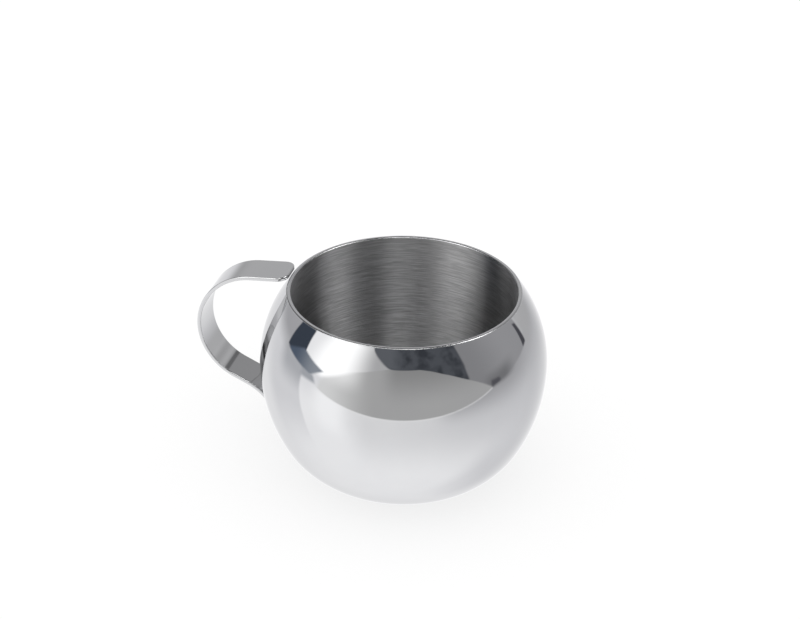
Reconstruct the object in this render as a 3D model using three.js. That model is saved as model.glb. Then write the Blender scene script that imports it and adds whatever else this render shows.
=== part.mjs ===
// A double-walled shaving mug with a flat strip handle.
//
// Frame, in millimetres: the origin is on the mug's axis in the plane it stands on, +Z is up,
// and the handle points along -X. The XZ plane is the mug's plane of symmetry.
//
// The outer wall is a ball-shaped shell. The inner wall is a slightly tapered cup. They meet at
// the lip, where a bead closes them, and a pressed cap closes the bottom of the outer wall.

import * as THREE from 'three';

// ---- driving dimensions ----

const RADIAL_SEGMENTS = 60;
const WELD_GAP = 0.3; // thickness of weld metal between two sheets

// outer wall: its largest diameter is 90 mm, at the equator
const EQUATOR_Z = 39.06;
const RIM_Z = 63.7;
const SHELL_T = 0.5;
const UPPER_ARC_CENTRE = 5.31; // centres lie in the equator's plane, this far from the axis
const UPPER_ARC_R = 39.69;
const LOWER_ARC_CENTRE = -8.6;
const LOWER_ARC_R = 53.6;
const CORNER_R = 27; // the turn under the body, towards the base
const SHELL_END_Z = 1.5; // the outer wall's lower edge, round the base cap

// inner wall
const CUP_T = 0.5;
const CUP_RIM_R = 35.6; // outside radius at the lip
const CUP_TAPER_DEG = 3;
const CUP_BOTTOM_Z = 6.5; // underside of its floor
const CUP_CORNER_R = 14; // outside radius of its bottom corner

// lip bead
const BEAD_TOP_Z = 64.0;

// base cap
const CAP_T = 0.6;
const CAP_EDGE_R = 23.4;
const FOOT_STEP_R = 20.4; // inside this radius the flat stands below the shell's curve
const FOOT_FLAT_R = 19.6;
const GROOVE_OUTER_R = 15.9; // a shallow ring pressed into the flat, to stiffen it
const GROOVE_INNER_R = 12.5;
const GROOVE_RISE = 0.9;
const GROOVE_SLOPE = 0.7; // width of each of its sloping sides

// handle: a strip with square sides, bent to straights and arcs in the XZ plane
const STRIP_W = 12;
const STRIP_T = 1.2;
const TIP_RADIUS = 36.4; // distance of the free end from the mug's axis
const TIP_Z = 64.57; // height of the strip's middle there, just clear of the lip bead
const TIP_FALL_DEG = 5; // slope of the top straight, falling away from the mug
const TIP_CORNER_R = 3.5;
const TOP_STRAIGHT = 12.0;
const LOOP_R = 18.85; // middle of the strip, as are the next ones
const LOWER_STRAIGHT = 4.7;
const FOOT_BEND_R = 18.5;
const FOOT_LENGTH = 8; // length which lies along the shell
const FOOT_CORNER_R = 3;

// spot welds under the foot
const NUGGET_R = 1.5;
const UPPER_NUGGET_AT = 1.9; // distances along the foot
const LOWER_NUGGET_AT = 5.9;

// ---- helpers ----

const radians = (degrees) => degrees * Math.PI / 180;

const group = new THREE.Group();
group.name = 'shaving_mug';

function addPiece(name, geometry, colour, roughness) {
  const material = new THREE.MeshStandardMaterial({
    color: colour,
    roughness,
    metalness: 1,
  });
  const mesh = new THREE.Mesh(geometry, material);
  mesh.name = name;
  group.add(mesh);
}

// Points along a circular arc in the (radius, height) plane, both ends included.
function arcPoints(centreR, centreZ, radius, fromDeg, toDeg, steps) {
  const points = [];
  for (let i = 0; i <= steps; i += 1) {
    const angle = radians(fromDeg + (toDeg - fromDeg) * i / steps);
    points.push([centreR + radius * Math.cos(angle), centreZ + radius * Math.sin(angle)]);
  }
  return points;
}

// The same line moved sideways by a distance, to the left of its direction of travel.
function offsetLine(points, distance) {
  return points.map((point, i) => {
    const before = points[Math.max(i - 1, 0)];
    const after = points[Math.min(i + 1, points.length - 1)];
    const dr = after[0] - before[0];
    const dz = after[1] - before[1];
    const length = Math.hypot(dr, dz);
    return [point[0] - dz / length * distance, point[1] + dr / length * distance];
  });
}

// Revolves a closed (radius, height) outline about the mug's axis.
function revolve(outline) {
  let area = 0;
  outline.forEach(([r, z], i) => {
    const [nextR, nextZ] = outline[(i + 1) % outline.length];
    area += r * nextZ - nextR * z;
  });
  const ordered = area > 0 ? outline : [...outline].reverse();
  const isOnAxis = ([r]) => r < 1e-6;
  // An outline with an edge on the axis starts and ends there. Any other one closes on itself.
  const start = ordered.findIndex((point, i) => isOnAxis(point) && isOnAxis(ordered.at(i - 1)));
  const turned = [...ordered.slice(Math.max(start, 0)), ...ordered.slice(0, Math.max(start, 0))];
  const profile = turned.map(([r, z]) => new THREE.Vector2(r, z));
  if (start < 0) {
    profile.push(profile[0].clone());
  }
  const geometry = new THREE.LatheGeometry(profile, RADIAL_SEGMENTS);
  geometry.rotateX(Math.PI / 2);
  return geometry;
}

// ---- outer wall ----

// The lower arc runs from the equator down to where the corner arc touches it.
const cornerCentreZ = CORNER_R;
const cornerCentreR = LOWER_ARC_CENTRE
  + Math.sqrt((LOWER_ARC_R - CORNER_R) ** 2 - (EQUATOR_Z - cornerCentreZ) ** 2);
const cornerStartDeg = Math.atan2(
  cornerCentreZ - EQUATOR_Z,
  cornerCentreR - LOWER_ARC_CENTRE,
) * 180 / Math.PI;
const cornerEndDeg = -Math.asin((cornerCentreZ - SHELL_END_Z) / CORNER_R) * 180 / Math.PI;
const upperStartDeg = Math.asin((RIM_Z - EQUATOR_Z) / UPPER_ARC_R) * 180 / Math.PI;

const shellOutside = [
  ...arcPoints(UPPER_ARC_CENTRE, EQUATOR_Z, UPPER_ARC_R, upperStartDeg, 0, 9),
  ...arcPoints(LOWER_ARC_CENTRE, EQUATOR_Z, LOWER_ARC_R, 0, cornerStartDeg, 7).slice(1),
  ...arcPoints(cornerCentreR, cornerCentreZ, CORNER_R, cornerStartDeg, cornerEndDeg, 8).slice(1),
];
const shellInside = offsetLine(shellOutside, -SHELL_T);
// the sheet's upper edge is cut level
shellInside[0][1] = RIM_Z;

addPiece('outer_shell', revolve([...shellOutside, ...shellInside.toReversed()]), 0xd9dde0, 0.06);

// ---- inner wall ----

const taper = radians(CUP_TAPER_DEG);
const cupCornerCentreZ = CUP_BOTTOM_Z + CUP_CORNER_R;
// where the tapered side touches the corner arc
const sideEndZ = cupCornerCentreZ - CUP_CORNER_R * Math.sin(taper);
const sideEndR = CUP_RIM_R - (RIM_Z - sideEndZ) * Math.tan(taper);
const cupCornerCentreR = sideEndR - CUP_CORNER_R * Math.cos(taper);

const cupOutside = [
  [CUP_RIM_R, RIM_Z],
  ...arcPoints(cupCornerCentreR, cupCornerCentreZ, CUP_CORNER_R, -CUP_TAPER_DEG, -90, 10),
  [0, CUP_BOTTOM_Z],
];
const cupInside = [
  [0, CUP_BOTTOM_Z + CUP_T],
  ...arcPoints(cupCornerCentreR, cupCornerCentreZ, CUP_CORNER_R - CUP_T, -90, -CUP_TAPER_DEG, 10),
  [CUP_RIM_R - CUP_T / Math.cos(taper), RIM_Z],
];

addPiece('inner_cup', revolve([...cupOutside, ...cupInside]), 0xb7babc, 0.32);

// ---- lip bead: it sits on both cut edges and is rounded over ----

const beadOuterR = shellOutside[0][0];
const beadInnerR = CUP_RIM_R - CUP_T / Math.cos(taper);
const beadMiddleR = (beadOuterR + beadInnerR) / 2;
const beadHalfWidth = (beadOuterR - beadInnerR) / 2;
const beadOutline = [];
const BEAD_STEPS = 8;
for (let i = 0; i <= BEAD_STEPS; i += 1) {
  const angle = Math.PI * i / BEAD_STEPS;
  beadOutline.push([
    beadMiddleR + beadHalfWidth * Math.cos(angle),
    RIM_Z + (BEAD_TOP_Z - RIM_Z) * Math.sin(angle),
  ]);
}

addPiece('rim_weld', revolve(beadOutline), 0xd9dde0, 0.12);

// ---- base cap: a flat with a shallow ring pressed into it, from one sheet ----

// Outside the flat, the cap carries on the shell's corner arc.
const cornerHeightAt = (r) => cornerCentreZ - Math.sqrt(CORNER_R ** 2 - (r - cornerCentreR) ** 2);
const capUnderside = [
  [0, 0],
  [GROOVE_INNER_R, 0],
  [GROOVE_INNER_R + GROOVE_SLOPE, GROOVE_RISE],
  [GROOVE_OUTER_R - GROOVE_SLOPE, GROOVE_RISE],
  [GROOVE_OUTER_R, 0],
  [FOOT_FLAT_R, 0],
  [FOOT_STEP_R, cornerHeightAt(FOOT_STEP_R)],
  [CAP_EDGE_R, cornerHeightAt(CAP_EDGE_R)],
];
const capTopside = offsetLine(capUnderside, CAP_T);
capTopside[0] = [0, CAP_T];

addPiece('base_disc', revolve([...capUnderside, ...capTopside.toReversed()]), 0xc9cdd0, 0.2);

// ---- base seam: weld metal between the cap's edge and the shell's edge ----

const seamOutline = [
  capUnderside.at(-1),
  shellOutside.at(-1),
  shellInside.at(-1),
  capTopside.at(-1),
];

addPiece('base_weld', revolve(seamOutline), 0xb5b8ba, 0.35);

// ---- handle ----

// The path lies in the plane of (distance from the axis, height). A heading of 0 points straight
// away from the mug and a positive one points down.
const fall = radians(TIP_FALL_DEG);
const shellToMiddle = WELD_GAP + STRIP_T / 2;
const footRadius = LOWER_ARC_R + shellToMiddle;
const topStraightEnd = [
  TIP_RADIUS + TOP_STRAIGHT * Math.cos(fall),
  TIP_Z - TOP_STRAIGHT * Math.sin(fall),
];
const loopCentre = [
  topStraightEnd[0] - LOOP_R * Math.sin(fall),
  topStraightEnd[1] - LOOP_R * Math.cos(fall),
];
const footCentre = [LOWER_ARC_CENTRE, EQUATOR_Z];

// The foot's bend touches the arc that follows the shell, and a straight joins it to the loop,
// so its centre is where two circles about the other two centres cross.
function lowerCrossing(centreA, radiusA, centreB, radiusB) {
  const dr = centreB[0] - centreA[0];
  const dz = centreB[1] - centreA[1];
  const distance = Math.hypot(dr, dz);
  const along = (radiusA ** 2 - radiusB ** 2 + distance ** 2) / (2 * distance);
  const across = Math.sqrt(radiusA ** 2 - along ** 2);
  const candidates = [1, -1].map((side) => [
    centreA[0] + (dr * along - side * dz * across) / distance,
    centreA[1] + (dz * along + side * dr * across) / distance,
  ]);
  return candidates[0][1] < candidates[1][1] ? candidates[0] : candidates[1];
}

const bendCentre = lowerCrossing(
  loopCentre,
  Math.hypot(LOOP_R + FOOT_BEND_R, LOWER_STRAIGHT),
  footCentre,
  footRadius + FOOT_BEND_R,
);
const loopToBend = [bendCentre[0] - loopCentre[0], bendCentre[1] - loopCentre[1]];
const loopStartAngle = Math.PI / 2 - fall;
const loopEndAngle = Math.atan2(loopToBend[1], loopToBend[0])
  + Math.acos((LOOP_R + FOOT_BEND_R) / Math.hypot(...loopToBend));
const footStartAngle = Math.atan2(bendCentre[1] - footCentre[1], bendCentre[0] - footCentre[0]);

// The foot follows the shell: its lower arc first, then its corner arc.
const footTurnAngle = radians(cornerStartDeg);
const footTurnAt = (footStartAngle - footTurnAngle) * footRadius;
const cornerCentre = [cornerCentreR, cornerCentreZ];

function shellArcAt(distanceAlongFoot) {
  if (distanceAlongFoot < footTurnAt) {
    return {
      centre: footCentre,
      radius: LOWER_ARC_R,
      angle: footStartAngle - distanceAlongFoot / footRadius,
    };
  }
  return {
    centre: cornerCentre,
    radius: CORNER_R,
    angle: footTurnAngle - (distanceAlongFoot - footTurnAt) / (CORNER_R + shellToMiddle),
  };
}

// Each point of the path carries the strip's outward normal, as an angle.
const path = [];

function addStraight(from, normalAngle, length, steps) {
  const heading = [Math.sin(normalAngle), -Math.cos(normalAngle)];
  for (let i = 0; i <= steps; i += 1) {
    const travelled = length * i / steps;
    path.push({
      r: from[0] + heading[0] * travelled,
      z: from[1] + heading[1] * travelled,
      normalAngle,
    });
  }
}

// A bend which turns the strip towards the mug has its centre inside the loop (side = 1), and a
// bend which turns it away has its centre outside (side = -1).
function addBend(centre, radius, side, fromAngle, toAngle, steps) {
  for (let i = 1; i <= steps; i += 1) {
    const normalAngle = fromAngle + (toAngle - fromAngle) * i / steps;
    path.push({
      r: centre[0] + side * radius * Math.cos(normalAngle),
      z: centre[1] + side * radius * Math.sin(normalAngle),
      normalAngle,
    });
  }
}

addStraight([TIP_RADIUS, TIP_Z], loopStartAngle, TOP_STRAIGHT, 12);
addBend(loopCentre, LOOP_R, 1, loopStartAngle, loopEndAngle, 26);
const lowerStraightStart = [path[path.length - 1].r, path[path.length - 1].z];
path.pop();
addStraight(lowerStraightStart, loopEndAngle, LOWER_STRAIGHT, 2);
addBend(bendCentre, FOOT_BEND_R, -1, loopEndAngle, footStartAngle, 10);
addBend(footCentre, footRadius, 1, footStartAngle, footTurnAngle, 3);
const footEndAngle = shellArcAt(FOOT_LENGTH).angle;
addBend(cornerCentre, CORNER_R + shellToMiddle, 1, footTurnAngle, footEndAngle, 7);

// distance travelled along the path at each point
let travelled = 0;
path.forEach((point, i) => {
  if (i > 0) {
    travelled += Math.hypot(point.r - path[i - 1].r, point.z - path[i - 1].z);
  }
  point.travelled = travelled;
});
const stripLength = travelled;

// The strip's half width at a distance along it, narrowed by the rounded corners of both ends.
function halfWidthAt(distance) {
  const fromFoot = stripLength - distance;
  let halfWidth = STRIP_W / 2;
  if (distance < TIP_CORNER_R) {
    halfWidth -= TIP_CORNER_R - Math.sqrt(TIP_CORNER_R ** 2 - (TIP_CORNER_R - distance) ** 2);
  }
  if (fromFoot < FOOT_CORNER_R) {
    halfWidth -= FOOT_CORNER_R - Math.sqrt(FOOT_CORNER_R ** 2 - (FOOT_CORNER_R - fromFoot) ** 2);
  }
  return halfWidth;
}

// Cross-sections of the strip, four corners each, joined into one closed skin.
function stripGeometry() {
  const vertices = [];
  const indices = [];
  path.forEach((point) => {
    const half = halfWidthAt(point.travelled);
    const normalR = Math.cos(point.normalAngle);
    const normalZ = Math.sin(point.normalAngle);
    const corners = [[-half, 1], [half, 1], [half, -1], [-half, -1]];
    corners.forEach(([across, side]) => {
      const r = point.r + side * STRIP_T / 2 * normalR;
      const z = point.z + side * STRIP_T / 2 * normalZ;
      vertices.push(-r, across, z);
    });
  });
  for (let ring = 0; ring < path.length - 1; ring += 1) {
    for (let corner = 0; corner < 4; corner += 1) {
      const next = (corner + 1) % 4;
      const a = ring * 4 + corner;
      const b = ring * 4 + next;
      const c = (ring + 1) * 4 + next;
      const d = (ring + 1) * 4 + corner;
      indices.push(a, b, c, a, c, d);
    }
  }
  const last = (path.length - 1) * 4;
  indices.push(0, 2, 1, 0, 3, 2);
  indices.push(last, last + 1, last + 2, last, last + 2, last + 3);
  const geometry = new THREE.BufferGeometry();
  geometry.setAttribute('position', new THREE.Float32BufferAttribute(vertices, 3));
  geometry.setIndex(indices);
  geometry.computeVertexNormals();
  return geometry;
}

addPiece('handle_strip', stripGeometry(), 0xd9dde0, 0.1);

// ---- spot welds: short round nuggets between the shell and the handle's foot ----

function addNugget(name, distanceAlongFoot) {
  const { centre, radius, angle } = shellArcAt(distanceAlongFoot);
  // a little short of both sheets, which are curved where the nugget's ends are flat
  const clearance = 0.06;
  const length = WELD_GAP - 2 * clearance;
  const middle = radius + WELD_GAP / 2;
  const geometry = new THREE.CylinderGeometry(NUGGET_R, NUGGET_R, length, 24);
  geometry.rotateZ(-Math.PI / 2);
  geometry.rotateY(Math.PI + angle);
  geometry.translate(
    -(centre[0] + middle * Math.cos(angle)),
    0,
    centre[1] + middle * Math.sin(angle),
  );
  addPiece(name, geometry, 0xb5b8ba, 0.4);
}

addNugget('foot_weld_upper', UPPER_NUGGET_AT);
addNugget('foot_weld_lower', LOWER_NUGGET_AT);

export default group;
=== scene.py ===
"""The looks of a double-walled shaving mug: a mirror-polished ball-shaped shell, a brushed inner
cup, a polished lip bead, a pressed base and a polished flat strip handle, on a pale floor.

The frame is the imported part's: metres, origin on the mug's axis where it stands, +Z up, and the
handle along -X.
"""

import math

import bpy
from mathutils import Matrix, Vector


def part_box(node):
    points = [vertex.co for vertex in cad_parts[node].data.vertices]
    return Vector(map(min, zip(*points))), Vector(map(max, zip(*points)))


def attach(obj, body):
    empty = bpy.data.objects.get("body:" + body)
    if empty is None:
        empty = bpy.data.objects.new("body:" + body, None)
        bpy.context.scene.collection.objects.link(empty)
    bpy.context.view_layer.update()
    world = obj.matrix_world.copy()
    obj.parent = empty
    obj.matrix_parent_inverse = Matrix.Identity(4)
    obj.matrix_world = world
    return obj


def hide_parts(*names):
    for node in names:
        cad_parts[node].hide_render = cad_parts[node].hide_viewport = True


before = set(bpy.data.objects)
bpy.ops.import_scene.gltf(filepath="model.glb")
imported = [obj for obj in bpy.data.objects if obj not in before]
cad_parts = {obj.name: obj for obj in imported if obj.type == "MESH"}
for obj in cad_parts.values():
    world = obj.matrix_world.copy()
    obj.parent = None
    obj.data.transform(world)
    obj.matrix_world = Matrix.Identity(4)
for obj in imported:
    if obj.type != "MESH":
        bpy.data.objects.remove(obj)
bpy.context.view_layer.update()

MM = 0.001


# ---- sizes that the part's boxes don't give ----

SHELL_T = 0.5 * MM
CUP_T = 0.5 * MM
UPPER_ARC_R = 39.69 * MM
LOWER_ARC_R = 53.6 * MM
CORNER_R = 27 * MM
CUP_TAPER = math.radians(3)
CUP_CORNER_R = 14 * MM
EQUATOR_Z = 39.06 * MM

CAP_T = 0.6 * MM
FOOT_STEP_R = 20.4 * MM
FOOT_FLAT_R = 19.6 * MM
GROOVE_OUTER_R = 15.9 * MM
GROOVE_INNER_R = 12.5 * MM
GROOVE_RISE = 0.9 * MM
GROOVE_SLOPE = 0.7 * MM
GROOVE_ROUNDING = 0.5 * MM
FOOT_ROUNDING = 0.6 * MM
STEP_ROUNDING = 0.4 * MM

STRIP_T = 1.2 * MM
STRIP_GAP = 0.3 * MM
STRIP_EDGE_R = 0.28 * MM
STRIP_EDGE_HOLD = 0.12 * MM
TIP_FALL = math.radians(5)
TIP_CORNER_R = 3.5 * MM
TOP_STRAIGHT = 12 * MM
LOOP_R = 18.85 * MM
LOWER_STRAIGHT = 4.7 * MM
FOOT_BEND_R = 18.5 * MM
FOOT_LENGTH = 8 * MM
FOOT_CORNER_R = 3 * MM

# what polished steel gives back of red, green and blue light, and how far it is kept from turning
# white where it is seen at a grazing angle
STEEL = (0.658, 0.66, 0.664)
GRAZING_TINT = 0.8

# how deep the bump of each finish is
POLISH_DEPTH = 0.06 * MM
BRUSHING_DEPTH = 0.06 * MM
WELD_DEPTH = 0.1 * MM

# the shader counts in whole turns: a quarter draws highlights out across the brushing
QUARTER_TURN = 0.25
# keeps the coordinates that turn round the axis from dividing by nothing on it
SMALLEST_R = 0.01 * MM

# how finely the meshes follow the curves
ROUND_STEPS = 288
PATH_STEP = 0.4 * MM
FINE_PATH_STEP = 0.15 * MM
STRIP_RUN_STEPS = 170
STRIP_CORNER_STEPS = 14
STRIP_EDGE_STEPS = 5
# an outline's point nearer than this to the axis lies on it
AXIS_R = 1e-7

# ---- sizes from the part's boxes ----

shell_low, shell_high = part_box("outer_shell")
cup_low, cup_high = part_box("inner_cup")
bead_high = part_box("rim_weld")[1]
cap_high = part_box("base_disc")[1]
strip_low, strip_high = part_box("handle_strip")

BODY_R = shell_high[0]
RIM_Z = shell_high[2]
SHELL_END_Z = shell_low[2]
CUP_RIM_R = cup_high[0]
CUP_BOTTOM_Z = cup_low[2]
BEAD_TOP_Z = bead_high[2]
CAP_EDGE_R = cap_high[0]
STRIP_W = strip_high[1] - strip_low[1]
TIP_R = -strip_high[0]


# ---- outlines ----


def arc(centre_r, centre_z, radius, start, end, steps):
    """Points on an arc in the (radius, height) plane. Angles are in radians."""
    points = []
    for i in range(steps + 1):
        angle = start + (end - start) * i / steps
        points.append((centre_r + radius * math.cos(angle), centre_z + radius * math.sin(angle)))
    return points


def line(start, end, steps):
    """Points on a straight line, without the first one."""
    return [
        (
            start[0] + (end[0] - start[0]) * i / steps,
            start[1] + (end[1] - start[1]) * i / steps,
        )
        for i in range(1, steps + 1)
    ]


def rounded(points, radii, steps=5):
    """An open line of points whose inner corners are replaced by small arcs."""
    result = [points[0]]
    for i in range(1, len(points) - 1):
        corner = Vector(points[i])
        before = (Vector(points[i - 1]) - corner).normalized()
        after = (Vector(points[i + 1]) - corner).normalized()
        half = before.angle(after) / 2
        reach = radii[i - 1] / math.tan(half)
        centre = corner + (before + after).normalized() * (radii[i - 1] / math.sin(half))
        first = corner + before * reach - centre
        last = corner + after * reach - centre
        turn = first.angle(last)
        for step in range(steps + 1):
            part = step / steps
            weight_first = math.sin((1 - part) * turn) / math.sin(turn)
            weight_last = math.sin(part * turn) / math.sin(turn)
            point = centre + first * weight_first + last * weight_last
            result.append((point.x, point.y))
    result.append(points[-1])
    return result


def offset(points, distance):
    """The same line moved to the left of its direction of travel."""
    moved = []
    for i, point in enumerate(points):
        before = points[max(i - 1, 0)]
        after = points[min(i + 1, len(points) - 1)]
        dr = after[0] - before[0]
        dz = after[1] - before[1]
        length = math.hypot(dr, dz)
        moved.append((point[0] - dz / length * distance, point[1] + dr / length * distance))
    return moved


# the shell is three arcs: above the widest place, below it, and round the corner at the bottom
upper_centre = BODY_R - UPPER_ARC_R
lower_centre = BODY_R - LOWER_ARC_R
corner_centre_r = lower_centre + math.sqrt(
    (LOWER_ARC_R - CORNER_R) ** 2 - (EQUATOR_Z - CORNER_R) ** 2
)
corner_start = math.atan2(CORNER_R - EQUATOR_Z, corner_centre_r - lower_centre)


def shell_outline():
    """The shell's outer and inner lines, both from the lip down."""
    upper_start = math.asin((RIM_Z - EQUATOR_Z) / UPPER_ARC_R)
    corner_end = -math.asin((CORNER_R - SHELL_END_Z) / CORNER_R)
    outside = arc(upper_centre, EQUATOR_Z, UPPER_ARC_R, upper_start, 0, 36)
    outside += arc(lower_centre, EQUATOR_Z, LOWER_ARC_R, 0, corner_start, 28)[1:]
    outside += arc(corner_centre_r, CORNER_R, CORNER_R, corner_start, corner_end, 30)[1:]
    inside = offset(outside, -SHELL_T)
    inside[0] = (inside[0][0], RIM_Z)
    return outside, inside


def cup_outline():
    """The cup's outer and inner lines, both from the lip down to the axis."""
    centre_z = CUP_BOTTOM_Z + CUP_CORNER_R
    side_end_z = centre_z - CUP_CORNER_R * math.sin(CUP_TAPER)
    side_end_r = CUP_RIM_R - (RIM_Z - side_end_z) * math.tan(CUP_TAPER)
    centre_r = side_end_r - CUP_CORNER_R * math.cos(CUP_TAPER)
    outside = [(CUP_RIM_R, RIM_Z)]
    outside += line(outside[0], (side_end_r, side_end_z), 20)[:-1]
    outside += arc(centre_r, centre_z, CUP_CORNER_R, -CUP_TAPER, -math.pi / 2, 30)
    outside += line(outside[-1], (0, CUP_BOTTOM_Z), 12)
    inside = [(CUP_RIM_R - CUP_T / math.cos(CUP_TAPER), RIM_Z)]
    inner_r = CUP_CORNER_R - CUP_T
    inner_arc = arc(centre_r, centre_z, inner_r, -CUP_TAPER, -math.pi / 2, 30)
    inside += line(inside[0], inner_arc[0], 20)[:-1]
    inside += inner_arc
    inside += line(inside[-1], (0, CUP_BOTTOM_Z + CUP_T), 12)
    return outside, inside


def bead_outline(shell_edge_r, cup_edge_r):
    """The bead over the lip: half an ellipse across both walls."""
    middle = (shell_edge_r + cup_edge_r) / 2
    half = (shell_edge_r - cup_edge_r) / 2
    points = []
    steps = 20
    for i in range(steps + 1):
        angle = math.pi * i / steps
        height = (BEAD_TOP_Z - RIM_Z) * math.sin(angle)
        points.append((middle + half * math.cos(angle), RIM_Z + height))
    return points


def corner_height(r):
    """How high the shell's bottom corner is at a radius. The cap's edge follows it."""
    return CORNER_R - math.sqrt(CORNER_R**2 - (r - corner_centre_r) ** 2)


def cap_outline():
    """The cap's underside and topside, both from the axis out."""
    underside = rounded(
        [
            (0, 0),
            (GROOVE_INNER_R, 0),
            (GROOVE_INNER_R + GROOVE_SLOPE, GROOVE_RISE),
            (GROOVE_OUTER_R - GROOVE_SLOPE, GROOVE_RISE),
            (GROOVE_OUTER_R, 0),
            (FOOT_FLAT_R, 0),
            (FOOT_STEP_R, corner_height(FOOT_STEP_R)),
            (CAP_EDGE_R, corner_height(CAP_EDGE_R)),
        ],
        [GROOVE_ROUNDING] * 4 + [FOOT_ROUNDING, STEP_ROUNDING],
    )
    topside = offset(underside, CAP_T)
    topside[0] = (0, CAP_T)
    return underside, topside


# ---- meshes ----


def new_object(name, vertices, faces, sharp_degrees=32):
    """A smooth mesh object whose edges stay sharp above an angle."""
    mesh = bpy.data.meshes.new(name)
    mesh.from_pydata(vertices, [], faces)
    mesh.validate()
    mesh.polygons.foreach_set("use_smooth", [True] * len(mesh.polygons))
    mesh.set_sharp_from_angle(angle=math.radians(sharp_degrees))
    mesh.update()
    piece = bpy.data.objects.new(name, mesh)
    bpy.context.scene.collection.objects.link(piece)
    return piece


def revolve(name, outline, sharp_degrees=32):
    """One closed solid from a (radius, height) outline that goes anticlockwise. Points on the
    axis become one vertex each."""
    vertices = []
    rings = []
    for r, z in outline:
        if r < AXIS_R:
            rings.append([len(vertices)])
            vertices.append((0, 0, z))
        else:
            rings.append(list(range(len(vertices), len(vertices) + ROUND_STEPS)))
            for i in range(ROUND_STEPS):
                angle = 2 * math.pi * i / ROUND_STEPS
                vertices.append((r * math.cos(angle), r * math.sin(angle), z))
    faces = []
    for i, ring in enumerate(rings):
        following = rings[(i + 1) % len(rings)]
        if len(ring) == 1 and len(following) == 1:
            continue
        for a in range(ROUND_STEPS):
            b = (a + 1) % ROUND_STEPS
            if len(ring) == 1:
                faces.append((ring[0], following[b], following[a]))
            elif len(following) == 1:
                faces.append((ring[a], ring[b], following[0]))
            else:
                faces.append((ring[a], ring[b], following[b], following[a]))
    return new_object(name, vertices, faces, sharp_degrees)


def anticlockwise(outline):
    """The outline, turned round if it goes clockwise."""
    area = 0
    for i, (r, z) in enumerate(outline):
        next_r, next_z = outline[(i + 1) % len(outline)]
        area += r * next_z - next_r * z
    return outline if area > 0 else outline[::-1]


# ---- the handle's path ----


def handle_path():
    """(radius, height, angle of the outward normal, distance travelled) along the strip's
    middle, from its free end over the lip to the end of its foot."""
    half_t = STRIP_T / 2
    tip_z = strip_high[2] - half_t * math.cos(TIP_FALL)
    tip_r = TIP_R + half_t * math.sin(TIP_FALL)
    to_middle = STRIP_GAP + half_t
    foot_centre = Vector((lower_centre, EQUATOR_Z))
    foot_r = LOWER_ARC_R + to_middle
    straight_end = Vector(
        (
            tip_r + TOP_STRAIGHT * math.cos(TIP_FALL),
            tip_z - TOP_STRAIGHT * math.sin(TIP_FALL),
        )
    )
    loop_centre = straight_end - LOOP_R * Vector((math.sin(TIP_FALL), math.cos(TIP_FALL)))

    # the foot's bend touches the arc along the shell, and a straight joins it to the loop
    reach_loop = math.hypot(LOOP_R + FOOT_BEND_R, LOWER_STRAIGHT)
    reach_foot = foot_r + FOOT_BEND_R
    between = foot_centre - loop_centre
    along = (reach_loop**2 - reach_foot**2 + between.length_squared) / (2 * between.length)
    across = math.sqrt(reach_loop**2 - along**2)
    unit = between.normalized()
    sideways = Vector((-unit.y, unit.x))
    candidates = [loop_centre + unit * along + sideways * across * side for side in (1, -1)]
    bend_centre = min(candidates, key=lambda point: point.y)

    to_bend = bend_centre - loop_centre
    loop_start = math.pi / 2 - TIP_FALL
    opening = math.acos((LOOP_R + FOOT_BEND_R) / to_bend.length)
    loop_end = math.atan2(to_bend.y, to_bend.x) + opening
    from_foot = bend_centre - foot_centre
    foot_start = math.atan2(from_foot.y, from_foot.x)
    corner_centre = Vector((corner_centre_r, CORNER_R))
    corner_path_r = CORNER_R + to_middle
    along_corner = FOOT_LENGTH - (foot_start - corner_start) * foot_r
    foot_end = corner_start - along_corner / corner_path_r

    path = []

    def straight(start, normal, length, step):
        heading = Vector((math.sin(normal), -math.cos(normal)))
        count = max(2, round(length / step))
        for i in range(count + 1):
            path.append((start + heading * length * i / count, normal))

    def bend(centre, radius, side, start, end, step):
        count = max(2, round(abs(end - start) * radius / step))
        for i in range(1, count + 1):
            normal = start + (end - start) * i / count
            direction = Vector((math.cos(normal), math.sin(normal)))
            path.append((centre + direction * radius * side, normal))

    straight(Vector((tip_r, tip_z)), loop_start, TOP_STRAIGHT, FINE_PATH_STEP)
    bend(loop_centre, LOOP_R, 1, loop_start, loop_end, PATH_STEP)
    lower_start = path.pop()[0]
    straight(lower_start, loop_end, LOWER_STRAIGHT, PATH_STEP)
    bend(bend_centre, FOOT_BEND_R, -1, loop_end, foot_start, PATH_STEP)
    bend(foot_centre, foot_r, 1, foot_start, corner_start, PATH_STEP)
    bend(corner_centre, corner_path_r, 1, corner_start, foot_end, FINE_PATH_STEP)

    result = []
    travelled = 0
    for i, (point, normal) in enumerate(path):
        if i > 0:
            travelled += (point - path[i - 1][0]).length
        result.append((point.x, point.y, normal, travelled))
    return result


class Path:
    """Looks up the handle's path at any distance along it."""

    def __init__(self, points):
        self.points = points
        self.length = points[-1][3]

    def at(self, distance):
        """Radius, height and angle of the outward normal."""
        distance = min(max(distance, 0), self.length)
        low = 0
        high = len(self.points) - 1
        while high - low > 1:
            middle = (low + high) // 2
            if self.points[middle][3] <= distance:
                low = middle
            else:
                high = middle
        a = self.points[low]
        b = self.points[high]
        part = (distance - a[3]) / (b[3] - a[3])
        return tuple(a[i] + (b[i] - a[i]) * part for i in range(3))


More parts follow.
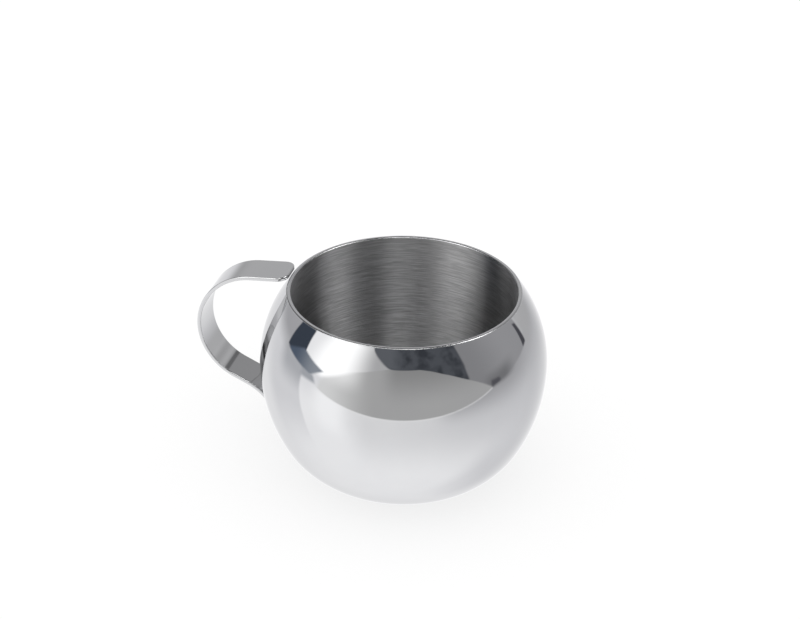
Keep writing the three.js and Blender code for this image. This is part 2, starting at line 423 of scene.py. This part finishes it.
def strip_stations(length, inset):
    """(distance along, half width) of one long side of the strip, from end to end, for an outline
    drawn in by a small inset."""
    stations = []
    for i in range(STRIP_CORNER_STEPS + 1):
        angle = math.pi / 2 * i / STRIP_CORNER_STEPS
        radius = TIP_CORNER_R - inset
        along = TIP_CORNER_R - radius * math.cos(angle)
        stations.append((along, STRIP_W / 2 - TIP_CORNER_R + radius * math.sin(angle)))
    run_start = TIP_CORNER_R
    run_end = length - FOOT_CORNER_R
    for i in range(1, STRIP_RUN_STEPS):
        along = run_start + (run_end - run_start) * i / STRIP_RUN_STEPS
        stations.append((along, STRIP_W / 2 - inset))
    for i in range(STRIP_CORNER_STEPS + 1):
        angle = math.pi / 2 * (1 - i / STRIP_CORNER_STEPS)
        radius = FOOT_CORNER_R - inset
        along = length - FOOT_CORNER_R + radius * math.cos(angle)
        stations.append((along, STRIP_W / 2 - FOOT_CORNER_R + radius * math.sin(angle)))
    return stations


def strip_levels():
    """(inset, height off the strip's middle) from the outer face, over the eased edges, to the
    inner face. A narrow ring beside each edge keeps the faces flat in the shading."""
    half = STRIP_T / 2
    face_inset = STRIP_EDGE_R + STRIP_EDGE_HOLD
    outer = []
    for i in range(STRIP_EDGE_STEPS + 1):
        angle = math.pi / 2 * i / STRIP_EDGE_STEPS
        inset = STRIP_EDGE_R * (1 - math.sin(angle))
        outer.append((inset, half - STRIP_EDGE_R * (1 - math.cos(angle))))
    outer.insert(0, (face_inset, half))
    inner = [(inset, -height) for inset, height in reversed(outer)]
    return outer + inner


def strip_mesh(name):
    """A flat strip with rounded ends and eased edges, bent along its path."""
    path = Path(handle_path())
    vertices = []
    loops = []
    for inset, height in strip_levels():
        stations = strip_stations(path.length, inset)
        loop = []
        sides = [(station, 1) for station in stations]
        sides += [(station, -1) for station in reversed(stations)]
        for (along, across), side in sides:
            r, z, normal = path.at(along)
            loop.append(len(vertices))
            vertices.append(
                (
                    -(r + height * math.cos(normal)),
                    across * side,
                    z + height * math.sin(normal),
                )
            )
        loops.append(loop)
    faces = []
    count = len(loops[0])
    for upper, lower in zip(loops, loops[1:]):
        for a in range(count):
            b = (a + 1) % count
            faces.append((upper[a], upper[b], lower[b], lower[a]))
    top = loops[0]
    bottom = loops[-1]
    for i in range(count // 2 - 1):
        mirror = count - 1 - i
        faces.append((top[i], top[mirror], top[mirror - 1], top[i + 1]))
        faces.append((bottom[i], bottom[i + 1], bottom[mirror - 1], bottom[mirror]))
    return new_object(name, vertices, faces, sharp_degrees=50)


# ---- node helpers ----

# the sockets of a Mix node that mixes colours
MIX_FIRST = 6
MIX_SECOND = 7
MIX_RESULT = 2


class Tree:
    """Short ways to add shader nodes."""

    def __init__(self, tree):
        self.tree = tree
        self.tree.nodes.clear()

    def node(self, kind, settings=None, inputs=None):
        made = self.tree.nodes.new(kind)
        for key, value in (settings or {}).items():
            setattr(made, key, value)
        for key, value in (inputs or {}).items():
            self.put(value, made.inputs[key])
        return made

    def put(self, value, socket):
        if isinstance(value, bpy.types.NodeSocket):
            self.tree.links.new(value, socket)
        else:
            socket.default_value = value

    def math(self, operation, *values):
        made = self.tree.nodes.new("ShaderNodeMath")
        made.operation = operation
        for i, value in enumerate(values):
            self.put(value, made.inputs[i])
        return made.outputs[0]

    def ramp(self, value, low, high, to_low=0.0, to_high=1.0):
        """Rises smoothly from to_low to to_high as value goes from low to high."""
        made = self.node(
            "ShaderNodeMapRange",
            {"interpolation_type": "SMOOTHSTEP"},
            {"Value": value, "From Min": low, "From Max": high, "To Min": to_low, "To Max": to_high},
        )
        return made.outputs["Result"]

    def mix(self, factor, first, second):
        made = self.node("ShaderNodeMix", {"data_type": "RGBA"})
        self.put(factor, made.inputs["Factor"])
        self.put(first, made.inputs[MIX_FIRST])
        self.put(second, made.inputs[MIX_SECOND])
        return made.outputs[MIX_RESULT]

    def mix_shaders(self, factor, first, second):
        made = self.node("ShaderNodeMixShader", None, {"Fac": factor})
        self.put(first, made.inputs[1])
        self.put(second, made.inputs[2])
        return made.outputs[0]

    def noise(self, vector, scale, detail=2.0, roughness=0.5):
        made = self.node(
            "ShaderNodeTexNoise",
            {"noise_dimensions": "3D"},
            {"Vector": vector, "Scale": scale, "Detail": detail, "Roughness": roughness},
        )
        return made.outputs["Fac"]


def grey(value):
    return (value, value, value, 1.0)


def scaled(tint, share, blue_share=None):
    """A tint made darker or lighter. Its blue can take a share of its own."""
    return (tint[0] * share, tint[1] * share, tint[2] * (blue_share or share), 1.0)


def new_material(name):
    material = bpy.data.materials.new(name)
    material.use_nodes = True
    return material, Tree(material.node_tree)


def metal(tree, colour, roughness, height, depth, extra=None):
    """A metal surface with its colour, roughness and bump from other nodes. `depth` is how far
    the bump goes, and `extra` holds more inputs of the shader."""
    bump = tree.node(
        "ShaderNodeBump", None, {"Strength": 1.0, "Distance": depth, "Height": height}
    )
    inputs = {
        "Base Color": colour,
        "Metallic": 1.0,
        "Roughness": roughness,
        "Specular Tint": grey(GRAZING_TINT),
        "Normal": bump.outputs["Normal"],
    }
    inputs.update(extra or {})
    shader = tree.node("ShaderNodeBsdfPrincipled", None, inputs)
    tree.node("ShaderNodeOutputMaterial", None, {"Surface": shader.outputs["BSDF"]})


def object_coords(tree):
    return tree.node("ShaderNodeTexCoord").outputs["Object"]


def turning_coords(tree, around, along):
    """Coordinates which follow the mug round: noise on them is drawn out into lines round the
    axis. `around` is the detail per turn, `along` the detail per metre across the lines."""
    split = tree.node("ShaderNodeSeparateXYZ", None, {"Vector": object_coords(tree)})
    x, y, z = split.outputs
    squares = tree.math("ADD", tree.math("MULTIPLY", x, x), tree.math("MULTIPLY", y, y))
    radius = tree.math("SQRT", squares)
    safe = tree.math("MAXIMUM", radius, SMALLEST_R)
    profile = tree.math("ADD", radius, z)
    joined = tree.node(
        "ShaderNodeCombineXYZ",
        None,
        {
            "X": tree.math("MULTIPLY", tree.math("DIVIDE", x, safe), around),
            "Y": tree.math("MULTIPLY", tree.math("DIVIDE", y, safe), around),
            "Z": tree.math("MULTIPLY", profile, along),
        },
    )
    return joined.outputs[0]


def drawn_noise(tree, around, along, detail, roughness):
    """Noise drawn out into lines round the axis."""
    return tree.noise(turning_coords(tree, around, along), 1.0, detail, roughness)


# ---- materials ----


def polished_steel(name, tint=STEEL, roughness=(0.015, 0.05)):
    """Mirror-polished steel: faint polishing haze, a few hairlines and the slight waviness of
    pressed sheet."""
    material, tree = new_material(name)
    coords = object_coords(tree)
    haze = tree.noise(coords, scale=45.0, detail=3.0, roughness=0.6)
    hairs = drawn_noise(tree, around=3.0, along=2600.0, detail=3.0, roughness=0.6)
    wave = tree.noise(coords, scale=38.0, detail=1.0, roughness=0.4)
    hazy = tree.ramp(haze, 0.35, 0.75, roughness[0], roughness[1])
    scratched = tree.ramp(hairs, 0.62, 0.8, 0.0, 0.03)
    colour = tree.mix(tree.ramp(haze, 0.3, 0.7), scaled(tint, 1.0), scaled(tint, 0.97, 0.975))
    height = tree.math("ADD", tree.math("MULTIPLY", wave, 0.7), tree.math("MULTIPLY", hairs, 0.02))
    metal(tree, colour, tree.math("ADD", hazy, scratched), height, POLISH_DEPTH)
    return material


def brushed_steel(name, tint, roughness, anisotropy):
    """Steel brushed round the mug's axis: fine broken lines, and highlights drawn out across
    them."""
    material, tree = new_material(name)
    fine = drawn_noise(tree, around=5.0, along=7500.0, detail=2.0, roughness=0.6)
    broad = drawn_noise(tree, around=2.0, along=3000.0, detail=2.0, roughness=0.55)
    broken = drawn_noise(tree, around=7.0, along=5000.0, detail=2.0, roughness=0.5)
    coarse = tree.math("ADD", tree.math("MULTIPLY", broad, 0.28), tree.math("MULTIPLY", broken, 0.3))
    lines = tree.math("ADD", tree.math("MULTIPLY", fine, 0.42), coarse)
    colour = tree.mix(
        tree.ramp(lines, 0.38, 0.62), scaled(tint, 0.76, 0.765), scaled(tint, 1.22)
    )
    roughness_value = tree.ramp(lines, 0.38, 0.62, roughness[0], roughness[1])
    tangent = tree.node("ShaderNodeTangent", {"direction_type": "RADIAL", "axis": "Z"})
    brushing = {
        "Anisotropic": anisotropy,
        "Anisotropic Rotation": QUARTER_TURN,
        "Tangent": tangent.outputs[0],
    }
    metal(tree, colour, roughness_value, lines, BRUSHING_DEPTH, brushing)
    return material


def weld_steel(name):
    """Dressed weld metal: soft ripples and a duller grain than the sheets it joins."""
    material, tree = new_material(name)
    ripple = drawn_noise(tree, around=40.0, along=300.0, detail=2.0, roughness=0.5)
    grain = tree.noise(object_coords(tree), scale=2400.0, detail=3.0, roughness=0.6)
    height = tree.math("ADD", ripple, tree.math("MULTIPLY", grain, 0.3))
    colour = tree.mix(tree.ramp(ripple, 0.3, 0.7), (0.42, 0.42, 0.43, 1), (0.62, 0.62, 0.63, 1))
    metal(tree, colour, tree.ramp(grain, 0.3, 0.7, 0.3, 0.48), height, WELD_DEPTH)
    return material


# ---- pieces ----

MATERIALS = {
    "polished_steel": polished_steel("polished_steel"),
    "polished_lip": polished_steel("polished_lip", (0.62, 0.623, 0.628), (0.18, 0.28)),
    "handle_steel": polished_steel("handle_steel", (0.65, 0.652, 0.655), (0.03, 0.08)),
    # the liner's steel is darker than the base's brushed steel: painted shade, which keeps the light
    # that bounces round inside the cup low
    "brushed_liner": brushed_steel("brushed_liner", (0.5, 0.5, 0.502), (0.33, 0.46), 1.0),
    "base_steel": brushed_steel("base_steel", (0.62, 0.623, 0.627), (0.2, 0.32), 0.6),
    "weld_metal": weld_steel("weld_metal"),
}


def dress(piece, slot):
    """Gives a piece its material, under the part's name for it."""
    piece.data.materials.clear()
    piece.data.materials.append(MATERIALS[slot])


def add_piece(piece, node, slot):
    """Puts a piece in the place of one of the part's nodes. The mug is one body."""
    dress(piece, slot)
    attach(piece, "root")
    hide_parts(node)


shell_outside, shell_inside = shell_outline()
cup_outside, cup_inside = cup_outline()
cap_underside, cap_topside = cap_outline()

add_piece(
    revolve("outer_shell_skin", anticlockwise(shell_outside + shell_inside[::-1])),
    "outer_shell",
    "polished_steel",
)
add_piece(
    revolve("inner_cup_skin", anticlockwise(cup_outside + cup_inside[::-1])),
    "inner_cup",
    "brushed_liner",
)
add_piece(
    revolve("lip_bead", anticlockwise(bead_outline(shell_outside[0][0], cup_inside[0][0])), 60),
    "rim_weld",
    "polished_lip",
)
add_piece(
    revolve("base_cap", anticlockwise(cap_underside + cap_topside[::-1])),
    "base_disc",
    "base_steel",
)
add_piece(
    revolve(
        "base_seam",
        anticlockwise([cap_underside[-1], shell_outside[-1], shell_inside[-1], cap_topside[-1]]),
    ),
    "base_weld",
    "weld_metal",
)
add_piece(strip_mesh("strip_handle"), "handle_strip", "handle_steel")

# the two weld nuggets under the foot keep the part's own meshes
for node_name in ("foot_weld_upper", "foot_weld_lower"):
    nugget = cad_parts[node_name]
    for material_slot in nugget.material_slots:
        material_slot.material = MATERIALS["weld_metal"]


# ---- studio ----

CAMERA_AZIMUTH = math.radians(14.6)
CAMERA_ELEVATION = math.radians(29.22)
CAMERA_ROLL = math.radians(-0.684)
CAMERA_DISTANCE = 642.86 * MM
CAMERA_SHIFT = (-1.105 * MM, 15.53 * MM)
CAMERA_LENS = 92.2
SENSOR_WIDTH = 36
NEAREST_SEEN = 0.01
FARTHEST_SEEN = 50

# the white that everything but the steel's reflections sees
BACKDROP_TONE = 1.05
FLOOR_RADIUS = 4.0
FLOOR_DROP = 0.02 * MM
FLOOR_GLOW = 1.02
FLOOR_GLOW_SHARE = 0.72
FLOOR_STEPS = 96
LAMP_PLACE = (0.1, -0.3, 1.6)
LAMP_SIZE = 1.6
LAMP_POWER = 3


def add_camera():
    """The camera at the photograph's angle. The shift is where it aims, in its own directions,
    from the middle of the body's widest ring."""
    azimuth, elevation, roll = CAMERA_AZIMUTH, CAMERA_ELEVATION, CAMERA_ROLL
    turn = Matrix.Rotation(azimuth, 3, "Z")
    forward = turn @ Vector((0, math.cos(elevation), -math.sin(elevation)))
    level_right = turn @ Vector((1, 0, 0))
    level_up = level_right.cross(forward)
    right = level_right * math.cos(roll) - level_up * math.sin(roll)
    up = level_right * math.sin(roll) + level_up * math.cos(roll)
    aim = Vector((0, 0, EQUATOR_Z)) + right * CAMERA_SHIFT[0] + up * CAMERA_SHIFT[1]
    place = aim - forward * CAMERA_DISTANCE
    data = bpy.data.cameras.new("camera")
    data.lens = CAMERA_LENS
    data.sensor_width = SENSOR_WIDTH
    data.clip_start = NEAREST_SEEN
    data.clip_end = FARTHEST_SEEN
    camera = bpy.data.objects.new("camera", data)
    rotation = Matrix((right, up, -forward)).transposed()
    camera.matrix_world = Matrix.Translation(place) @ rotation.to_4x4()
    bpy.context.scene.collection.objects.link(camera)
    bpy.context.scene.camera = camera


# The studio round the mug, as the mug sees it: paper walls, soft boxes and the dark gaps between
# them. A direction is (azimuth, elevation) in degrees: azimuth from the camera's side, positive to
# the right; elevation from the horizon. A tone is as seen in the steel, from 0 to 1. The soft box
# goes a little above 1, and the cards that only the blurred liner mirrors go well above it.


# half of an azimuth span that covers every direction, with room for soft ends
ROUND = 230
# the front wall's foot: its lowest elevation, and how fast it rises to the sides
WALL_FOOT = -17.0
WALL_FOOT_CURVE = 0.0023
WALL_LINE_SHARE = 0.35


def cool(tone, blue=0.005):
    """A grey tone with a little more blue in it."""
    return (tone, tone, tone + blue)


def linear(tone):
    """Light that shows as this tone, by the sRGB curve, once the steel has taken its share."""
    share = STEEL[1]
    channels = []
    for value in tone[:3]:
        if value > 0.04045:
            channels.append(((value + 0.055) / 1.055) ** 2.4 / share)
        else:
            channels.append(value / 12.92 / share)
    return (*channels, 1.0)


class Studio:
    """Builds up the light of each direction, one panel over another."""

    def __init__(self, tree, azimuth, elevation, tone):
        self.tree = tree
        self.azimuth = azimuth
        self.elevation = elevation
        self.colour = linear(tone)

    def inside(self, corners, soft):
        """1 inside a convex shape and 0 outside. The corners run anticlockwise. `soft` is half
        the width of the edge, for all edges or for each."""
        tree = self.tree
        mask = None
        for i, (start_a, start_e) in enumerate(corners):
            end_a, end_e = corners[(i + 1) % len(corners)]
            length = math.hypot(end_a - start_a, end_e - start_e)
            normal_a = -(end_e - start_e) / length
            normal_e = (end_a - start_a) / length
            level = start_a * normal_a + start_e * normal_e
            along_a = tree.math("MULTIPLY", self.azimuth, normal_a)
            along_e = tree.math("MULTIPLY", self.elevation, normal_e)
            depth = tree.math("SUBTRACT", tree.math("ADD", along_a, along_e), level)
            width = soft[i] if isinstance(soft, (list, tuple)) else soft
            edge = tree.ramp(depth, -width, width)
            mask = edge if mask is None else tree.math("MULTIPLY", mask, edge)
        return mask

    def panel(self, corners, soft, tone, fade=None):
        """Lays a panel over the studio so far. `fade` is (from azimuth, to azimuth, tone there)."""
        colour = linear(tone)
        if fade:
            start, end, far_tone = fade
            if start < end:
                part = self.tree.ramp(self.azimuth, start, end)
            else:
                part = self.tree.ramp(self.azimuth, end, start, 1.0, 0.0)
            colour = self.tree.mix(part, colour, linear(far_tone))
        self.colour = self.tree.mix(self.inside(corners, soft), self.colour, colour)

    def clutter(self, corners, tone):
        """Uneven darker patches in a panel, like things on shelves in a dim room."""
        tree = self.tree
        place = tree.node(
            "ShaderNodeCombineXYZ", None, {"X": self.azimuth, "Y": self.elevation}
        )
        patches = tree.ramp(tree.noise(place.outputs[0], 0.075, 2.0, 0.5), 0.4, 0.66)
        mask = tree.math("MULTIPLY", self.inside(corners, 2), patches)
        self.colour = tree.mix(mask, self.colour, linear(tone))

    def front_wall(self):
        """The grey wall before the mug: a lens shape with a curved foot and a bright foot line.
        The soft box lights its left end, and its top is in shade."""
        tree = self.tree
        squared = tree.math("MULTIPLY", self.azimuth, self.azimuth)
        foot = tree.math("ADD", WALL_FOOT, tree.math("MULTIPLY", squared, WALL_FOOT_CURVE))
        above = tree.math("SUBTRACT", self.elevation, foot)
        outline = [(-80, -40), (85, -40), (71, -4.5), (60, 4.5), (40, 17.5), (25, 25)]
        outline += [(14, 28.3), (-14, 28.3), (-40, 19.5), (-66, 4)]
        wall = self.inside(outline, [1, 1, 1, 0.6, 0.6, 0.6, 0.6, 0.6, 2.5, 2.5])
        to_the_right = tree.ramp(self.azimuth, -66.0, -20.0)
        tone = tree.mix(to_the_right, linear(grey(0.81)), linear(grey(0.618)))
        shade = tree.math(
            "MULTIPLY", tree.ramp(self.azimuth, -22, -4), tree.ramp(self.elevation, -6, 32)
        )
        tone = tree.mix(shade, tone, linear(grey(0.51)))
        glow = tree.math(
            "MULTIPLY", tree.ramp(self.azimuth, -52, -28, 1, 0), tree.ramp(self.elevation, -2, 18)
        )
        tone = tree.mix(glow, tone, linear(grey(0.9)))
        line = tree.math(
            "MULTIPLY", tree.ramp(above, -1.8, -0.3), tree.ramp(above, -0.3, 1.0, 1.0, 0.0)
        )
        line = tree.math("MULTIPLY", line, tree.math("MULTIPLY", wall, WALL_LINE_SHARE))
        mask = tree.math("MULTIPLY", wall, tree.ramp(above, -0.9, 0.9))
        self.colour = tree.mix(mask, self.colour, tone)
        self.colour = tree.mix(line, self.colour, linear(grey(0.9)))


def lay_table(studio):
    """The pale table, which the mug's lower half mirrors: brightest on the left, in half shade on
    the right and towards the far edge."""
    ground = [(-ROUND, -120), (ROUND, -120), (ROUND, -10), (-ROUND, -10)]
    studio.panel(ground, 12, cool(0.897))
    front = [(-40, -47), (140, -47), (140, 0), (-40, 0)]
    studio.panel(front, [22, 24, 1, 14], cool(0.825), (-20, 70, cool(0.765, 0.01)))
    studio.panel([(80, -70), (140, -66), (140, -40), (90, -42)], 20, cool(0.795, 0.01))
    right = [(30, -15), (155, -15), (155, 2), (30, 2)]
    studio.panel(right, [14, 22, 1, 12], cool(0.585, 0.01), (85, 135, cool(0.68, 0.01)))
    studio.panel([(-70, -36), (-50, -36), (-46, -8), (-70, -6)], [8, 8, 4, 8], cool(0.93))
    left = [(-128, -38), (-87, -38), (-85, 2), (-128, 2)]
    studio.panel(left, [14, 1.5, 3, 12], cool(0.81, 0.01))
    left_edge = [(-110, -12), (-86, -12), (-84, 2), (-110, 2)]
    studio.panel(left_edge, [9, 1.5, 3, 8], (0.66, 0.665, 0.68))
    studio.panel([(-86, -5), (-71, -4), (-74, 1), (-86, 1)], 1.8, (0.62, 0.63, 0.65))


def lay_back(studio):
    """The wall behind the mug, with one tone on both sides of straight back, and the dark
    ceiling."""
    studio.panel([(116, 4), (ROUND, 4), (ROUND, 70), (116, 70)], [8, 8, 8, 5], cool(0.655))
    studio.panel([(116, -6), (148, -6), (148, 10), (116, 10)], [5, 14, 5, 5], cool(0.655))
    studio.panel([(138, 24), (170, 28), (170, 60), (138, 60)], 3, cool(0.53))
    studio.panel([(139, 26), (144, 26), (144, 30), (139, 30)], 1.0, cool(0.38))
    studio.panel([(-ROUND, 4), (-125, 4), (-125, 70), (-ROUND, 70)], 8, cool(0.655))
    ceiling = [(-ROUND, 50), (ROUND, 50), (ROUND, 120), (-ROUND, 120)]
    studio.panel(ceiling, 8, cool(0.2, 0.004))


def lay_side_walls(studio):
    """The left-hand wall, pale below and dark above, and the right-hand wall, in shade towards
    the front, along its foot and high up."""
    pale = [(-150, -1), (-104, 1), (-104, 60), (-150, 60)]
    studio.panel(pale, [6, 2, 4, 8], cool(0.62, 0.01))
    dark = [(-155, 10), (-104, 25), (-104, 76), (-155, 76)]
    studio.panel(dark, [6, 4, 6, 12], (0.17, 0.173, 0.177))
    right = [(50, -5), (117, -2), (117, 62), (50, 62)]
    studio.panel(right, 1.2, cool(0.49, 0.01), (58, 96, cool(0.55, 0.01)))
    studio.panel([(66, -5), (92, -5), (92, 4), (66, 4)], [2.5, 8, 5, 6], cool(0.43, 0.01))
    studio.panel([(71, -5), (80, -4), (79, -1), (71, 0)], 1.5, cool(0.31, 0.02))
    studio.panel([(112, -2), (117, -2), (116, 11), (113, 13)], 0.8, cool(0.27, 0.02))
    studio.panel([(94, 36), (130, 15), (128, 76), (94, 76)], [5, 8, 8, 5], cool(0.16, 0.004))


def lay_soft_box(studio):
    """The soft box on the left, with the dark gaps beside it and below it."""
    box = [(-92, 5), (-60, 4), (-5, 30), (-25, 85), (-92, 85)]
    studio.panel(box, [3, 3, 3, 6, 2], grey(1.03), (-54, -22, cool(0.64)))
    studio.panel([(-92, 6), (-78, 6), (-70, 60), (-92, 60)], [2, 10, 4, 2], cool(0.9))
    beside = [(-108, 2), (-88, 1.5), (-88, 12), (-91, 26), (-108, 26)]
    studio.panel(beside, 1, (0.21, 0.235, 0.275))
    below = [(-106, 1.5), (-77, 0), (-66, 8), (-90, 12)]
    studio.panel(below, 1.2, (0.3, 0.34, 0.4), (-98, -72, (0.52, 0.54, 0.57)))
    studio.panel([(-112, 26), (-91, 26), (-102, 90), (-130, 90)], 1.5, (0.08, 0.083, 0.087))


def lay_dark_room(studio):
    """The dark room behind the camera, a little paler at its left end."""
    room = [(-13, 29), (53, 4), (51, 85), (-50, 85), (-30, 42)]
    studio.panel(room, 1.2, (0.285, 0.295, 0.315))
    studio.clutter([(-13, 29), (53, 4), (51, 60), (-25, 60)], (0.2, 0.21, 0.23))
    left_end = [(-28, 40), (-13, 29), (-5, 29), (-9, 60), (-40, 60)]
    studio.panel(left_end, [2, 2, 7, 2, 2], (0.34, 0.35, 0.37))
    studio.panel([(32, 47), (68, 42), (80, 74), (38, 74)], 2, cool(0.02))


def lay_ceiling_cards(studio):
    """Bright cards too high for the shell to mirror, which the brushed liner draws out into its
    upright bands, and a dim patch overhead for the handle's top."""
    front = [(-30, 50), (27, 50), (32, 68), (-36, 68)]
    studio.panel(front, 3, grey(1.75), (12, -24, grey(1.15)))
    studio.panel([(76, 40), (104, 36), (118, 68), (86, 68)], 3, grey(1.75))
    studio.panel([(-91, 44), (-60, 46), (-65, 70), (-97, 70)], 3, grey(1.6))
    overhead = [(-ROUND, 76), (ROUND, 76), (ROUND, 120), (-ROUND, 120)]
    studio.panel(overhead, 5, cool(0.4))


def add_world():
    """The studio, which only the steel's reflections see. Everything else sees plain white."""
    world = bpy.data.worlds.new("studio")
    world.use_nodes = True
    bpy.context.scene.world = world
    tree = Tree(world.node_tree)
    direction = tree.node("ShaderNodeTexCoord").outputs["Generated"]
    level = tree.node(
        "ShaderNodeVectorRotate",
        {"rotation_type": "Z_AXIS"},
        {"Vector": direction, "Angle": math.pi / 2 - CAMERA_AZIMUTH},
    )
    split = tree.node("ShaderNodeSeparateXYZ", None, {"Vector": level.outputs[0]})
    x, y, z = split.outputs
    azimuth = tree.math("DEGREES", tree.math("ARCTAN2", y, x))
    elevation = tree.math("DEGREES", tree.math("ARCSINE", z))
    studio = Studio(tree, azimuth, elevation, cool(0.84, 0.01))
    lay_table(studio)
    lay_back(studio)
    lay_side_walls(studio)
    lay_soft_box(studio)
    lay_dark_room(studio)
    lay_ceiling_cards(studio)
    studio.front_wall()
    rays = tree.node("ShaderNodeLightPath")
    seen = tree.mix(rays.outputs["Is Glossy Ray"], grey(BACKDROP_TONE), studio.colour)
    background = tree.node("ShaderNodeBackground", None, {"Color": seen, "Strength": 1.0})
    tree.node("ShaderNodeOutputWorld", None, {"Surface": background.outputs[0]})


def add_floor():
    """A pale lit table. It is clear from below, so that the mug's base can be looked at."""
    vertices = [(0, 0, 0)]
    for i in range(FLOOR_STEPS):
        angle = 2 * math.pi * i / FLOOR_STEPS
        vertices.append((FLOOR_RADIUS * math.cos(angle), FLOOR_RADIUS * math.sin(angle), 0))
    faces = [(0, 1 + i, 1 + (i + 1) % FLOOR_STEPS) for i in range(FLOOR_STEPS)]
    floor = new_object("floor", vertices, faces)
    floor.location.z = -FLOOR_DROP
    material, tree = new_material("pale_floor")
    grain = tree.noise(object_coords(tree), scale=900.0, detail=3.0, roughness=0.6)
    colour = tree.mix(grain, grey(0.9), grey(0.93))
    paper = tree.node("ShaderNodeBsdfDiffuse", None, {"Color": colour, "Roughness": 0.5})
    # the glow keeps the mug's shadow faint
    glow = tree.node("ShaderNodeEmission", None, {"Color": grey(1.0), "Strength": FLOOR_GLOW})
    lit = tree.mix_shaders(FLOOR_GLOW_SHARE, paper.outputs[0], glow.outputs[0])
    clear = tree.node("ShaderNodeBsdfTransparent")
    below = tree.node("ShaderNodeNewGeometry").outputs["Backfacing"]
    sided = tree.mix_shaders(below, lit, clear.outputs[0])
    tree.node("ShaderNodeOutputMaterial", None, {"Surface": sided})
    floor.data.materials.append(material)
    # the steel mirrors the studio's table instead, which is as even as lit paper
    floor.visible_glossy = False


def add_lamp():
    """A large soft lamp for the floor. The steel mirrors the studio's panels instead of it."""
    data = bpy.data.lights.new("top_lamp", "AREA")
    data.shape = "DISK"
    data.size = LAMP_SIZE
    data.energy = LAMP_POWER
    lamp = bpy.data.objects.new("top_lamp", data)
    lamp.location = LAMP_PLACE
    lamp.rotation_euler = (-Vector(LAMP_PLACE)).to_track_quat("-Z", "Y").to_euler()
    lamp.visible_glossy = False
    bpy.context.scene.collection.objects.link(lamp)


add_camera()
add_world()
add_floor()
add_lamp()
bpy.context.scene.view_settings.view_transform = "Standard"
